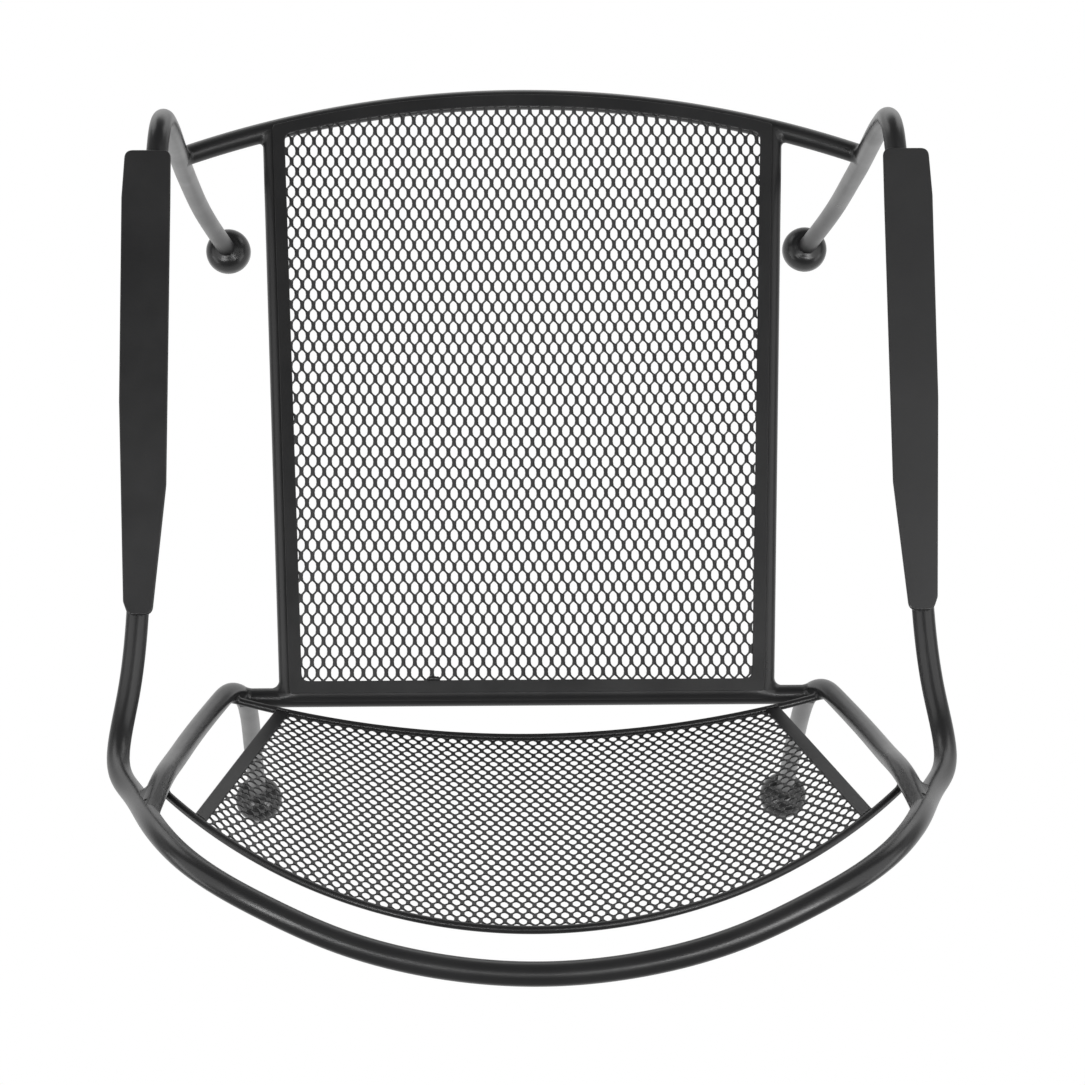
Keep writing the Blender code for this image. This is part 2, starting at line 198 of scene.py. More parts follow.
def coated_steel(name, peel=1.0, tone=0.0085, rough=0.30):
    """Glossy black powder coat: fine orange peel, faint cloudiness and specks of dust."""
    made, nodes, links, shader, where = new_material(name)
    shader.inputs["IOR"].default_value = 1.42

    def texture(scale, **inputs):
        node = nodes.new("ShaderNodeTexNoise")
        node.inputs["Scale"].default_value = scale
        for key, value in inputs.items():
            node.inputs[key].default_value = value
        links.new(where, node.inputs["Vector"])
        return node.outputs[0]

    cloud = texture(14.0, Detail=4.0, Roughness=0.6)
    fine = texture(420.0, Detail=3.0, Roughness=0.55)
    dust = texture(1500.0, Detail=1.0)

    mix = nodes.new("ShaderNodeMix")
    mix.data_type = "RGBA"
    mix.inputs[6].default_value = (tone, tone, tone * 1.04, 1.0)
    mix.inputs[7].default_value = (tone * 1.9, tone * 1.88, tone * 1.9, 1.0)
    speck = nodes.new("ShaderNodeMath")
    speck.operation = "MULTIPLY_ADD"
    links.new(ramp(nodes, links, dust, (0.66, 0.78), (0.0, 0.9)), speck.inputs[0])
    links.new(ramp(nodes, links, cloud, (0.45, 0.70), (0.0, 0.6)), speck.inputs[1])
    links.new(ramp(nodes, links, cloud, (0.35, 0.75), (0.0, 0.35)), speck.inputs[2])
    links.new(speck.outputs[0], mix.inputs[0])
    links.new(mix.outputs[2], shader.inputs["Base Color"])
    links.new(ramp(nodes, links, cloud, (0.3, 0.7), (rough - 0.035, rough + 0.045)),
              shader.inputs["Roughness"])
    bumpy(nodes, links, shader, fine, 0.11 * peel, 0.0004)
    return made


def nylon(name):
    """Matte black moulded nylon with a fine spark-eroded grain."""
    made, nodes, links, shader, where = new_material(name)
    shader.inputs["Base Color"].default_value = (0.018, 0.018, 0.019, 1.0)
    shader.inputs["IOR"].default_value = 1.53
    grain = nodes.new("ShaderNodeTexNoise")
    grain.inputs["Scale"].default_value = 1800.0
    grain.inputs["Detail"].default_value = 2.0
    links.new(where, grain.inputs["Vector"])
    links.new(ramp(nodes, links, grain.outputs[0], (0.0, 1.0), (0.5, 0.68)),
              shader.inputs["Roughness"])
    bumpy(nodes, links, shader, grain.outputs[0], 0.35, 0.0003)
    return made


TUBE_COAT = coated_steel("tube_powder_coat")
PLATE_COAT = coated_steel("plate_powder_coat", peel=0.8, rough=0.35)
MESH_COAT = coated_steel("mesh_powder_coat", peel=1.5, rough=0.34)
WELD_COAT = coated_steel("weld_powder_coat", peel=1.0, rough=0.34)
CUP_COAT = coated_steel("cup_powder_coat", peel=0.7, rough=0.27)
GLIDE_NYLON = nylon("glide_nylon")


# ---------------------------------------------------------------- making pieces
def linked(name, data):
    """A new object in the scene, made of a mesh, a light or a camera."""
    obj = bpy.data.objects.new(name, data)
    bpy.context.scene.collection.objects.link(obj)
    return obj


def riding(name, mesh, material, replaces):
    """A finished piece that rides on the chair's one body."""
    mesh.materials.append(material)
    obj = linked(name, mesh)
    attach(obj, "root")
    if replaces:
        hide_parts(*replaces)
    return obj


def place(name, verts, faces, material, slot="powder_coat", replaces=(), sharp=40.0):
    """A finished, smooth-shaded piece from its vertices and faces."""
    mesh = bpy.data.meshes.new(name)
    mesh.from_pydata([tuple(v) for v in verts], [], faces)
    body = bmesh.new()
    body.from_mesh(mesh)
    bmesh.ops.recalc_face_normals(body, faces=body.faces)
    body.to_mesh(mesh)
    body.free()
    mesh.shade_smooth()
    mesh.set_sharp_from_angle(angle=math.radians(sharp))
    return riding(name, mesh, material, replaces)


def unit(vector):
    return vector / np.linalg.norm(vector)


def square_to(direction, steep):
    """A direction square to the one given, from the X axis where that is steeper than `steep`."""
    return np.cross(direction, (0.0, 0.0, 1.0) if abs(direction[2]) < steep else (1.0, 0.0, 0.0))


def bent(start, corner, end, count):
    """`count` points along the curve from start to end that leans out towards the corner."""
    return [(1 - t) ** 2 * start + 2 * t * (1 - t) * corner + t * t * end
            for t in np.linspace(0.0, 1.0, count)]


def frames(path, closed=False):
    """A pair of unit normals at each point of a path, turned as little as possible."""
    path = np.asarray(path, dtype=float)
    if closed:
        tangent = np.roll(path, -1, axis=0) - np.roll(path, 1, axis=0)
    else:
        tangent = np.gradient(path, axis=0)
    tangent /= np.linalg.norm(tangent, axis=1)[:, None]
    side = square_to(tangent[0], 0.9)
    first = []
    for t in tangent:
        side = unit(side - t * (side @ t))
        first.append(side)
    first = np.array(first)
    return first, np.cross(tangent, first)


def sweep(path, radii, sides, closed=False):
    """Vertices and faces of a round bar along a path, with closed ends."""
    path = np.asarray(path, dtype=float)
    count = len(path)
    radii = np.broadcast_to(np.asarray(radii, dtype=float), (count,))
    first, second = frames(path, closed)
    turn = np.linspace(0.0, 2 * math.pi, sides, endpoint=False)
    ring = np.cos(turn)[None, :, None] * first[:, None, :]
    ring = ring + np.sin(turn)[None, :, None] * second[:, None, :]
    verts = (path[:, None, :] + radii[:, None, None] * ring).reshape(-1, 3)
    faces = []
    for i in range(count if closed else count - 1):
        here, there = i * sides, (i + 1) % count * sides
        for k in range(sides):
            after = (k + 1) % sides
            faces.append((here + k, here + after, there + after, there + k))
    if not closed:
        faces.append(tuple(range(sides))[::-1])
        faces.append(tuple(range((count - 1) * sides, count * sides)))
    return verts, faces


def tube(name, path, radius, sides=40, replaces=()):
    verts, faces = sweep(path, radius, sides)
    return place(name, verts, faces, TUBE_COAT, replaces=replaces)


def merged(parts):
    """One set of vertices and faces out of several."""
    verts, faces = [], []
    for some_verts, some_faces in parts:
        start = len(verts)
        verts.extend(some_verts)
        faces.extend(tuple(start + k for k in face) for face in some_faces)
    return verts, faces


def nearest(point, path):
    """The point on a path of straight steps that lies nearest."""
    start, step = path[:-1], np.diff(path, axis=0)
    along = np.einsum("ij,ij->i", point - start, step) / np.einsum("ij,ij->i", step, step)
    feet = start + np.clip(along, 0.0, 1.0)[:, None] * step
    return feet[int(np.argmin(np.linalg.norm(point - feet, axis=1)))]


def distance(point, path):
    """How far a point is from a path of straight steps."""
    return float(np.linalg.norm(point - nearest(point, path)))


def saddle(end, inward, radius, other, other_radius, count=44):
    """The closed line where a tube's end meets another tube. `inward` points back along it."""
    inward = unit(np.asarray(inward, dtype=float))
    side = unit(square_to(inward, 0.8))
    other_side = np.cross(inward, side)
    line = []
    for k in range(count):
        turn = 2 * math.pi * k / count
        start = np.asarray(end) + radius * (math.cos(turn) * side + math.sin(turn) * other_side)
        high = 0.030
        while high > 0.0 and distance(start + inward * (high - 0.001), other) > other_radius:
            high -= 0.001
        low = high - 0.001
        for _ in range(10):
            middle = (low + high) / 2
            if distance(start + inward * middle, other) < other_radius:
                low = middle
            else:
                high = middle
        line.append(start + inward * high)
    return np.array(line)


def swell(turn, spot, ripple, uneven, seed):
    """How many times its usual width a weld has: its ripples, and a slow unevenness."""
    drift = noise.noise(Vector(spot) + Vector((seed, 0.0, 0.0)))
    return 1.0 + ripple * math.cos(turn) + uneven * drift


def fillet_weld(line, inward, end, radius, other, other_radius, reach, seed):
    """A concave weld all round a joint, running `reach` up each of the two tubes."""
    inward = unit(np.asarray(inward, dtype=float))
    count, steps = len(line), 7
    ahead = np.roll(line, -1, axis=0) - np.roll(line, 1, axis=0)
    around = np.linalg.norm(ahead, axis=1).sum() / 2
    ripples = max(6, round(around / FILLET_RIPPLE))
    rings = []
    for point, tangent in zip(line, ahead):
        normal_a = unit(point - end - inward * ((point - end) @ inward))
        normal_b = unit(point - nearest(point, other))
        rings.append((normal_a, normal_b, unit(np.cross(tangent, normal_a)),
                      unit(np.cross(tangent, normal_b))))
    turn_a = math.copysign(1.0, sum(up_a @ inward for _, _, up_a, _ in rings))
    turn_b = math.copysign(1.0, sum(up_b @ normal_a for normal_a, _, _, up_b in rings))
    verts = []
    for k, (point, (normal_a, normal_b, up_a, up_b)) in enumerate(zip(line, rings)):
        up_a, up_b = up_a * turn_a, up_b * turn_b
        size = reach * swell(2 * math.pi * ripples * k / count, point * 130.0, 0.06, 0.20, seed)
        start = point + up_a * size
        foot = end + inward * ((start - end) @ inward)
        start = foot + unit(start - foot) * (radius - FILLET_SINK)
        stop = point + up_b * size
        foot = nearest(stop, other)
        stop = foot + unit(stop - foot) * (other_radius - FILLET_SINK)
        corner = point + (up_a + up_b) * size * 0.06
        verts += bent(start, corner, stop, steps)
        verts.append(point - (normal_a + normal_b) * FILLET_ROOT)
    ring = steps + 1
    faces = []
    for k in range(count):
        here, there = k * ring, (k + 1) % count * ring
        for i in range(ring):
            after = (i + 1) % ring
            faces.append((here + i, here + after, there + after, there + i))
    return verts, faces


def bead(line, size, seed, closed=True):
    """A weld bead along a line: a small round bar with ripples and a slightly uneven width."""
    line = np.asarray(line, dtype=float)
    gone = np.concatenate([[0.0], np.cumsum(np.linalg.norm(np.diff(line, axis=0), axis=1))])
    length = gone[-1] + (np.linalg.norm(line[0] - line[-1]) if closed else 0.0)
    ripples = max(3, round(length / BEAD_RIPPLE))
    spots = np.linspace(0.0, length, ripples * 6, endpoint=not closed)
    around = np.vstack([line, line[:1]]) if closed else line
    at = np.append(gone, length) if closed else gone
    path = np.stack([np.interp(spots, at, around[:, k]) for k in range(3)], axis=1)
    radii = []
    for point, spot in zip(path, spots):
        turn = 2 * math.pi * ripples * spot / length
        taper = 1.0 if closed else min(1.0, 0.45 + 400 * min(spot, length - spot))
        radii.append(size * swell(turn, point * 160.0, 0.07, 0.16, seed) * taper)
    return sweep(path, radii, 12, closed)


# ---------------------------------------------------------------- frame
hoop_half = HOOP_HALF + [rail_point(0.140), rail_point(0.070)]
HOOP = spline(hoop_half + [rail_point(0.0)] + mirrored(hoop_half)[::-1], CURVE_STEP)
LEGS = {1.0: spline(LEG_PATH, CURVE_STEP), -1.0: spline(mirrored(LEG_PATH), CURVE_STEP)}
FRONT_BAR = np.array([front_bar_point(FRONT_BAR_REACH * k / 70) for k in range(-70, 71)])
REAR_BAR = np.array([(REAR_BAR_REACH * k / 6, REAR_BAR_Y, SEAT_Z) for k in range(-6, 7)])
LOWER_ROD = np.array([lower_rod_point(LOWER_ROD_REACH * k / 60) for k in range(-60, 61)])
UPPER_ROD = np.array([upper_rod_point(UPPER_ROD_REACH * k / 60) for k in range(-60, 61)])


def side_rail(sign):
    start, end = front_bar_point(RAIL_FRONT_X), (RAIL_REAR_X, REAR_BAR_Y, SEAT_Z)
    ends = np.array([(sign * x, y, z) for x, y, z in (start, end)])
    return ends[0] + (ends[1] - ends[0]) * np.linspace(0.0, 1.0, 25)[:, None]


def build_frame():
    tube("hoop_tube", HOOP, HOOP_RADIUS, 48, ["hoop_frame"])
    tube("front_bar_tube", FRONT_BAR, HOOP_RADIUS, 40, ["seat_front_bar"])
    tube("rear_bar_tube", REAR_BAR, REAR_BAR_RADIUS, 40, ["seat_rear_bar"])
    tube("lower_rod_bar", LOWER_ROD, ROD_RADIUS, 20, ["back_lower_rod"])
    tube("upper_rod_bar", UPPER_ROD, ROD_RADIUS, 20, ["back_upper_rod"])
    for side, sign in SIDES:
        tube(f"rear_leg_tube_{side}", LEGS[sign][:-1], LEG_RADIUS, 44, [f"rear_leg_{side}"])
        tube(f"side_rail_tube_{side}", side_rail(sign), HOOP_RADIUS, 40,
             [f"seat_side_rail_{side}"])


def rear_seam():
    """The filled seam that runs from the rim's rear edge down to the rear bar."""
    # Y from the rear bar's axis, Z above it
    section = [(-0.0026, 0.0106), (-0.0004, 0.0101), (0.0018, 0.0090), (0.0038, 0.0073),
               (0.0046, 0.0062), (0.0040, 0.0050), (-0.0026, 0.0070)]
    count, steps = len(section), 84
    reach, taper = RAIL_REAR_X + 0.0120, 0.0180
    verts = []
    for x in np.linspace(-reach, reach, steps + 1):
        full = min(1.0, (reach - abs(x)) / taper)
        full = full * full * (3 - 2 * full)
        for y, z in section:
            skin = math.sqrt(REAR_BAR_RADIUS ** 2 - y ** 2) - 0.0003
            verts.append((x, REAR_BAR_Y + y, SEAT_Z + skin + (z - skin) * full))
    faces = [(k * count + i, k * count + (i + 1) % count,
              (k + 1) * count + (i + 1) % count, (k + 1) * count + i)
             for k in range(steps) for i in range(count)]
    faces += [tuple(range(count)), tuple(range(steps * count, (steps + 1) * count))]
    return verts, faces


def build_welds():
    """A filleted weld at every joint between two tubes."""
    frame_welds, back_welds = [], []
    for side, sign in SIDES:
        leg, rail = LEGS[sign], side_rail(sign)
        end = 0 if sign < 0 else -1
        step = 1 if sign < 0 else -1
        # a tube's end, a point further back on it, its radius, the tube it meets and that
        # tube's radius, how far the weld runs up both, and the piece the weld belongs to
        joints = [
            (leg[-1], leg[-4], LEG_RADIUS, HOOP, HOOP_RADIUS, 0.0080, frame_welds),
            (FRONT_BAR[end], FRONT_BAR[end + 3 * step], HOOP_RADIUS, HOOP, HOOP_RADIUS, 0.0050,
             frame_welds),
            (REAR_BAR[end], REAR_BAR[end + step], REAR_BAR_RADIUS, leg, LEG_RADIUS, 0.0045,
             frame_welds),
            (rail[0], rail[1], HOOP_RADIUS, FRONT_BAR, HOOP_RADIUS, 0.0050, frame_welds),
            (rail[-1], rail[-2], HOOP_RADIUS, REAR_BAR, REAR_BAR_RADIUS, 0.0060, frame_welds),
            (LOWER_ROD[end], LOWER_ROD[end + 2 * step], ROD_RADIUS, leg, LEG_RADIUS, 0.0035,
             back_welds),
            (UPPER_ROD[end], UPPER_ROD[end + 2 * step], ROD_RADIUS, leg, LEG_RADIUS, 0.0090,
             back_welds),
        ]
        for k, (at, back, radius, other, other_radius, reach, welds) in enumerate(joints):
            inward = np.asarray(back) - at
            line = saddle(at, inward, radius, other, other_radius)
            welds.append(fillet_weld(line, inward, at, radius, other, other_radius, reach,
                                     k + 10 * sign))
    frame_welds.append(rear_seam())
    place("frame_welds", *merged(frame_welds), WELD_COAT, sharp=70.0)
    place("back_welds", *merged(back_welds), WELD_COAT, sharp=70.0)


def stitch(path, middle, off, height, half, size, seed):
    """A short bead beside a path that runs along Y, `off` to one side and `height` above it."""
    spots = np.linspace(middle - half, middle + half, 12)
    line = [(np.interp(y, path[:, 1], path[:, 0]) + off, y, path[0][2] + height) for y in spots]
    return bead(line, size, seed, closed=False)


def build_stitches():
    """Short beads that hold the arm plates to the arms and the seat's rim to its tubes."""
    beads = []
    for side, sign in SIDES:
        arm = np.array([p for p in HOOP if p[0] * sign > 0 and -0.250 < p[1] < 0.100
                        and abs(p[2] - ARM_Z) < 0.0005])
        arm = arm[np.argsort(arm[:, 1])]
        for middle in (-0.225, -0.075, 0.075):
            for off in (-0.0040, 0.0040):
                beads.append(stitch(arm, middle, off, height=0.0083, half=0.011, size=0.0012,
                                    seed=middle * 90 + off * 900))
        rail = side_rail(sign)
        for middle in np.linspace(-0.300, 0.100, 7):
            beads.append(stitch(rail, middle, -sign * 0.0040, height=0.0081, half=0.007,
                                size=0.0011, seed=middle * 50 + sign))
        for up, rod in ((0.0, LOWER_ROD), (1.0, UPPER_ROD)):
            for face in (-1.0, 1.0):
                line = [side_bar_point(sign, across, up, face * 0.0022)
                        + (back_point(sign, 0.5) - back_point(sign, up)) * 0.019
                        for across in np.linspace(-0.9, 0.9, 8)]
                beads.append(bead(line, 0.0014, up * 5 + face + sign, closed=False))
    for k in range(-3, 4):
        x = np.linspace(0.058 * k - 0.006, 0.058 * k + 0.006, 8)
        for bar_y, bar_z in ((REAR_BAR_Y - 0.0042, 0.0075), (None, 0.0080)):
            y = [front_bar_point(each)[1] + 0.0042 if bar_y is None else bar_y for each in x]
            beads.append(bead(np.stack([x, y, np.full(8, SEAT_Z + bar_z)], axis=1), 0.0011, k,
                              closed=False))
    blob = [(x, RIM_REAR_Y - SEAT_RIM - inside, RIM_Z)      # a drip of weld on the rim's edge
            for x, inside in ((0.0720, 0.0012), (0.0775, 0.0016), (0.0830, 0.0010))]
    beads.append(bead(blob, 0.0019, 3.3, closed=False))
    place("stitch_weld_beads", *merged(beads), WELD_COAT)


# ---------------------------------------------------------------- rim and side bars
def softened(outline, radius, steps=6):
    """The outline, with each point that is marked as a corner rounded."""
    points = []
    for i, (x, y, corner) in enumerate(outline):
        here = np.array((x, y))
        if not corner:
            points.append(here)
            continue
        start = here + unit(np.array(outline[i - 1][:2]) - here) * radius
        end = here + unit(np.array(outline[(i + 1) % len(outline)][:2]) - here) * radius
        points += bent(start, here, end, steps)
    return points


def seat_outline(side, front, rear):
    """The seat's outline, anticlockwise, so far in from its rails' and its rim's edges."""
    line = []
    back_y = RIM_REAR_Y - rear
    reach, steps = RAIL_FRONT_X - side, 14
    for k in range(-steps, steps + 1):
        x, y, _ = front_bar_point(reach * k / steps)
        line.append((x, y - RIM_FORWARD + front, abs(k) == steps))
    line.append((seat_rail_x(back_y) - side, back_y, True))
    line.append((-seat_rail_x(back_y) + side, back_y, True))
    return line


def build_seat_rim():
    """The seat sheet's flat solid rim, which lies on the seat frame's tubes."""
    clear = 0.0005          # the rim stops this far short of the side rails' axes
    inner = softened(seat_outline(SEAT_RIM + clear, SEAT_RIM, SEAT_RIM), 0.0065)
    outer = softened(seat_outline(clear, 0.0, 0.0), 0.0030)
    half, count = SHEET_THICKNESS / 2, len(inner)
    verts = []
    for line, z in ((inner, -half), (outer, -half), (outer, half), (inner, half)):
        verts += [(x, y, RIM_Z + z) for x, y in line]
    faces = []
    for k in range(count):
        after = (k + 1) % count
        for i in range(4):
            low, high = i * count, (i + 1) % 4 * count
            faces.append((low + k, low + after, high + after, high + k))
    softly_edged(place("seat_rim_strip", verts, faces, PLATE_COAT), 0.0005)


def side_bar_point(sign, across, up, off):
    """A point of a side bar: across is -1 to 1 over its width, off is above its middle."""
    here = back_point(sign, up)
    sideways = unit(back_point(sign * 1.01, up) - here) * sign
    upward = unit(back_point(sign, up + 0.01) - here)
    return here + sideways * across * SIDE_WIDTH / 2 + np.cross(sideways, upward) * off


def build_side_bars():
    for side, sign in SIDES:
        verts, faces = [], []
        ups = np.linspace(0.004, 0.996, 14)
        for up in ups:
            for across, off in ((-1, -1), (1, -1), (1, 1), (-1, 1)):
                verts.append(side_bar_point(sign, across, up, off * SIDE_THICKNESS / 2))
        for k in range(len(ups) - 1):
            for i in range(4):
                after = (i + 1) % 4
                faces.append((4 * k + i, 4 * k + after, 4 * k + 4 + after, 4 * k + 4 + i))
        faces += [(0, 1, 2, 3), tuple(range(len(verts) - 4, len(verts)))]
        softly_edged(place(f"back_side_{side}_strip", verts, faces, PLATE_COAT,
                           replaces=[f"back_side_bar_{side}"]), 0.0007)


def softly_edged(obj, width):
    edge = obj.modifiers.new("edge", "BEVEL")
    edge.width = width
    edge.segments = 3
    edge.limit_method = "ANGLE"
    edge.angle_limit = math.radians(50)


# ---------------------------------------------------------------- expanded metal
def diamond():
    """One opening's outline and the cell round it: matching points, in metres."""
    half, long = MESH_PITCH / 2, MESH_LENGTH / 2
    tip = long - MESH_BOND
    rise = tip - MESH_BOND
    lean = math.atan2(rise, half)
    inset = MESH_STRAND / 2 / math.cos(lean)
    open_x = half - MESH_BOND_WIDTH / 2
    quarter_cell = [(half, 0.0), (half, MESH_BOND), (half * 0.5, MESH_BOND + rise * 0.5)]
    quarter_hole = [(open_x, 0.0), (open_x * 0.90, MESH_BOND),
                    (half * 0.36, MESH_BOND + rise * 0.64 - inset)]
    top_cell, top_hole = (0.0, tip), (0.0, tip - inset * 1.1)
    cell = quarter_cell + [top_cell] + [(-x, y) for x, y in quarter_cell[:0:-1]]
    hole = quarter_hole + [top_hole] + [(-x, y) for x, y in quarter_hole[:0:-1]]
    cell += [(-x, -y) for x, y in cell]
    hole += [(-x, -y) for x, y in hole]
    return np.array(cell), np.array(hole)


def network(low, high, phase=(0.0, 0.0)):
    """A flat sheet of expanded metal between two corners, as welded bmesh faces.

    Each vertex's Z holds how far it stands off the sheet, because the strands are tilted."""
    cell, hole = diamond()
    count = len(cell)
    tilt = MESH_TILT * -np.sign(np.round(hole[:, 0], 6))
    tilt[np.abs(hole[:, 0]) < 0.0002] = 0.0
    flat = bmesh.new()
    known = {}

    def vertex(x, y, z=0.0):
        key = (round(x * 1e6 / SNAP_MICRONS), round(y * 1e6 / SNAP_MICRONS))
        if key not in known:
            known[key] = flat.verts.new((x, y, z))
        return known[key]

    rows = range(math.floor(low[1] / MESH_LENGTH * 2) - 1, math.ceil(high[1] / MESH_LENGTH * 2) + 2)
    columns = range(math.floor(low[0] / MESH_PITCH) - 1, math.ceil(high[0] / MESH_PITCH) + 2)
    for j in rows:
        y = (j + phase[1]) * MESH_LENGTH / 2
        for i in columns:
            x = (i + phase[0] + (j % 2) / 2) * MESH_PITCH
            outer = [vertex(x + a, y + b) for a, b in cell]
            inner = [flat.verts.new((x + a, y + b, z)) for (a, b), z in zip(hole, tilt)]
            for k in range(count):
                after = (k + 1) % count
                flat.faces.new((outer[k], outer[after], inner[after], inner[k]))
    return flat


def trimmed(flat, outline):
    """Cut a flat network back to a convex outline, given anticlockwise."""
    for start, end in zip(outline, outline[1:] + outline[:1]):
        along = Vector((end[0] - start[0], end[1] - start[1], 0.0)).normalized()
        outward = Vector((along.y, -along.x, 0.0))
        geometry = flat.verts[:] + flat.edges[:] + flat.faces[:]
        bmesh.ops.bisect_plane(flat, geom=geometry, plane_co=(*start, 0.0), plane_no=outward,
                               clear_outer=True)
    return flat


def panel(name, flat, surface, node):
    """Lay a flat network on a curved surface and give it its thickness."""
    mesh = bpy.data.meshes.new(name)
    for vert in flat.verts:
        vert.co = surface(vert.co.x, vert.co.y, vert.co.z)
    bmesh.ops.recalc_face_normals(flat, faces=flat.faces)
    flat.to_mesh(mesh)
    flat.free()
    obj = riding(name, mesh, MESH_COAT, [node])
    thick = obj.modifiers.new("gauge", "SOLIDIFY")
    thick.thickness = MESH_GAUGE
    thick.offset = 0.0


def build_seat_mesh():
    def surface(x, y, off):
        front = front_bar_point(x)[1] - RIM_FORWARD
        width, length = seat_rail_x(y), RIM_REAR_Y - front
        over = min(1.0, abs(x) / (width - SEAT_RIM))
        down = min(1.0, abs(RIM_REAR_Y + front - 2 * y) / (length - 2 * SEAT_RIM))
        return (x, y, RIM_Z - SEAT_DISH * (1 - over ** 2) * (1 - down ** 2) + off)

    lap = SEAT_RIM - 0.0015         # the network ends inside the rim
    outline = [(x, y) for x, y, _ in seat_outline(lap, lap, lap)]
    flat = network((-RAIL_FRONT_X, FRONT_BAR_Y), (RAIL_FRONT_X, REAR_BAR_Y), (0.35, 0.3))
    panel("seat_expanded_metal", trimmed(flat, outline), surface, "seat_mesh")


def build_back_mesh():
    def arc(point, reach):
        line = np.array([point(reach * k / 24) for k in range(25)])
        return float(np.sum(np.linalg.norm(np.diff(line, axis=0), axis=1)))

    foot, head = arc(lower_rod_point, SIDE_FOOT_X), arc(upper_rod_point, SIDE_HEAD_X)

    def height(across):
        return float(np.linalg.norm(back_point(across, 1.0) - back_point(across, 0.0)))

    def unrolled(x, y):
        up = y / height(0.0)
        for _ in range(4):
            across = x / (foot + (head - foot) * up)
            up = y / height(max(-1.0, min(1.0, across)))
        return across, up

    def surface(x, y, off):
        across, up = unrolled(x, y)
        here = back_point(across, up)
        right = back_point(across + 0.01, up) - here
        above = back_point(across, up + 0.01) - here
        out = np.cross(above, right)
        return tuple(here + off * out / np.linalg.norm(out))

    edge = SIDE_WIDTH / 2 - 0.0015      # the network ends behind the side bars
    short, steps = 0.0008, 12           # and this far short of the rods' axes
    outline = [(-foot + edge, short), (foot - edge, short)]
    for k in range(steps, -steps - 1, -1):
        across = k / steps
        outline.append((across * (head - edge), height(across) - short))
    flat = network((-head, 0.0), (head, height(0.0)), (0.1, 0.4))
    panel("back_expanded_metal", trimmed(flat, outline), surface, "back_mesh")


# ---------------------------------------------------------------- arms and feet
def rounded(outline, radius, steps=9):
    """The outline with every corner rounded to about the given radius."""
    points = []
    for i, corner in enumerate(outline):
        here = np.array(corner)
        to_last = unit(np.array(outline[i - 1]) - here)
        to_next = unit(np.array(outline[(i + 1) % len(outline)]) - here)
        half_angle = math.acos(max(-1.0, min(1.0, float(to_last @ to_next)))) / 2
        reach = max(radius / math.tan(half_angle), 0.0012)
        points += bent(here + to_last * reach, here, here + to_next * reach, steps)
    return points


def build_arm_plates():
    low = ARM_Z + HOOP_RADIUS + 2 * WELD_GAP
    for side, sign in SIDES:
        points = rounded(PLATE_OUTLINE, PLATE_CORNER)
        if sign < 0:
            points = [np.array((-x, y)) for x, y in points][::-1]
        count = len(points)
        verts = [(*p, low) for p in points] + [(*p, low + PLATE_THICKNESS) for p in points]
        faces = [tuple(range(count))[::-1], tuple(range(count, 2 * count))]
        faces += [(k, (k + 1) % count, count + (k + 1) % count, count + k) for k in range(count)]
        plate = place(f"arm_plate_{side}_strip", verts, faces, PLATE_COAT,
                      replaces=[f"arm_plate_{side}"])
        softly_edged(plate, PLATE_EDGE)


def revolve(profile, sides, at):
    """Vertices and faces of a turned solid; the profile runs from the axis to the axis."""
    profile = np.asarray(profile, dtype=float)
    inner = profile[1:-1]
    verts = [np.array((0.0, 0.0, profile[0][1])), np.array((0.0, 0.0, profile[-1][1]))]
    for radius, z in inner:
        for k in range(sides):
            turn = 2 * math.pi * k / sides
            verts.append(np.array((radius * math.cos(turn), radius * math.sin(turn), z)))
    faces = []
    last = 2 + (len(inner) - 1) * sides
    for k in range(sides):
        after = (k + 1) % sides
        faces.append((0, 2 + k, 2 + after))
        faces.append((1, last + after, last + k))
        for i in range(len(inner) - 1):
            a, b = 2 + i * sides, 2 + (i + 1) * sides
            faces.append((a + k, b + k, b + after, a + after))
    return [v + np.array((*at, 0.0)) for v in verts], faces


def build_feet():
    collar = HOOP_RADIUS + 0.0016
    dome = [(0.0, CUP_HEIGHT), (collar, CUP_HEIGHT)]
    for k in range(1, 15):
        turn = math.radians(90 - 6 * k)
        dome.append((collar + (CUP_RADIUS - collar) * math.cos(turn),
                     CUP_SHOULDER_Z
                     + (CUP_HEIGHT - 0.0008 - CUP_SHOULDER_Z) * math.sin(turn)))
    dome += [(CUP_RADIUS, 0.0080), (CUP_RADIUS, 0.0046), (CUP_RADIUS - 0.0004, 0.0036),
             (CUP_RADIUS - 0.0012, CUP_RIM_Z), (GLIDE_RADIUS + 0.0012, CUP_RIM_Z),
             (GLIDE_RADIUS + 0.0004, 0.0038), (GLIDE_RADIUS + 0.0004, 0.0115), (0.0, 0.0115)]
    glide = [(0.0, 0.0112), (GLIDE_RADIUS, 0.0112), (GLIDE_RADIUS, 0.0030),
             (GLIDE_RADIUS - 0.0003, 0.0016), (GLIDE_RADIUS - 0.0012, 0.0004),
             (GLIDE_RADIUS - 0.0022, 0.0), (0.0080, 0.0), (0.0070, 0.0010), (0.0, 0.0010)]
    for side, sign in SIDES:
        feet = (("front", HOOP_HALF, HOOP_RADIUS), ("rear", LEG_PATH, LEG_RADIUS))
        for end, path, radius in feet:
            at = (sign * path[0][0], path[0][1])
            place(f"foot_{end}_{side}_cup", *revolve(dome, 72, at), CUP_COAT,
                  replaces=[f"foot_cup_{end}_{side}"], sharp=60.0)
            place(f"foot_{end}_{side}_glide", *revolve(glide, 56, at), GLIDE_NYLON,
                  slot="black_nylon", replaces=[f"foot_glide_{end}_{side}"])


build_frame()
build_welds()
build_stitches()
build_seat_rim()
build_side_bars()
build_seat_mesh()
build_back_mesh()
build_arm_plates()
build_feet()


